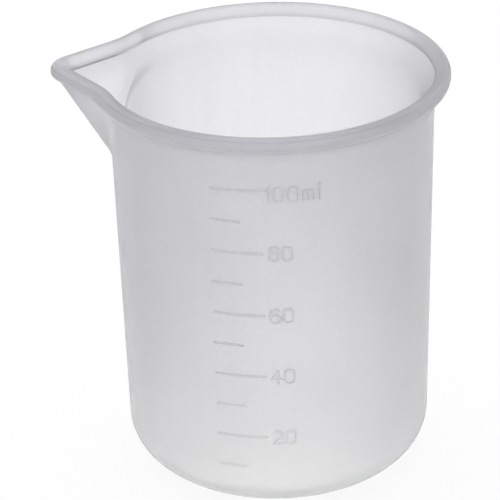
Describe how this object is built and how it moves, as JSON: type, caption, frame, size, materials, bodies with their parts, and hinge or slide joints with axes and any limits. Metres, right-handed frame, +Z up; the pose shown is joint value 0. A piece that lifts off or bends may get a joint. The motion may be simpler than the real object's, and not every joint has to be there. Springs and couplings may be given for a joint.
{
  "type": "mixing cup",
  "caption": "Frosted silicone measuring cup for mixing resin, with a tapered round wall, a flared lip, a V-shaped pouring spout and a scale in millilitres in relief.",
  "frame": {"origin": "on the axis of the round wall, at the flat underside", "axes": "+Z up along the cup's axis, -X along the pouring spout, -Y to the side with the scale"},
  "size_m": [0.0648, 0.0578, 0.069],
  "materials": {
    "silicone": "frosted translucent silicone, fine matte grain"
  },
  "bodies": {
    "root": {"cup": "silicone", "long_graduation_lines": "silicone", "short_graduation_lines": "silicone", "numeral_20": "silicone", "numeral_40": "silicone", "numeral_60": "silicone", "numeral_80": "silicone", "numeral_100": "silicone", "unit_ml": "silicone"}
  },
  "joints": []
}
